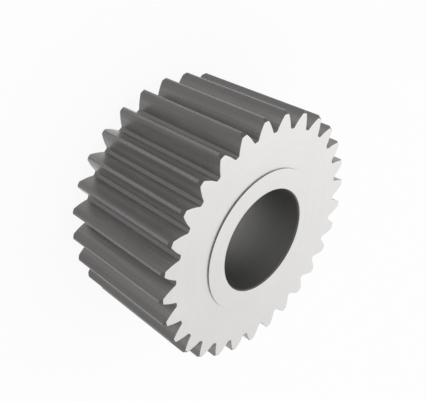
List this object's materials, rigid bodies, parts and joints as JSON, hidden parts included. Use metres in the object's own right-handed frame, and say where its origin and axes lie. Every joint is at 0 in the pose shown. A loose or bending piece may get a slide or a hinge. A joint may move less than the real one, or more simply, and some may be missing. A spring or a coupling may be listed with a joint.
{
  "type": "planet gear",
  "caption": "Straight-toothed spur planet gear of hardened steel, with a plain ground bore for needle rollers, a raised thrust ring at each end and chamfered tooth ends.",
  "frame": {"origin": "middle of the bore, halfway between the two end faces", "axes": "+Z along the bore axis; a tooth is centred on +X; the gear stands on the thrust ring of its lower end"},
  "size_m": [0.0972, 0.0974, 0.0502],
  "materials": {
    "gear_steel": "case-hardened steel: ground pale grey end faces, ground bore, satin dark grey tooth flanks"
  },
  "bodies": {
    "root": {"planet_gear": "gear_steel"}
  },
  "joints": []
}
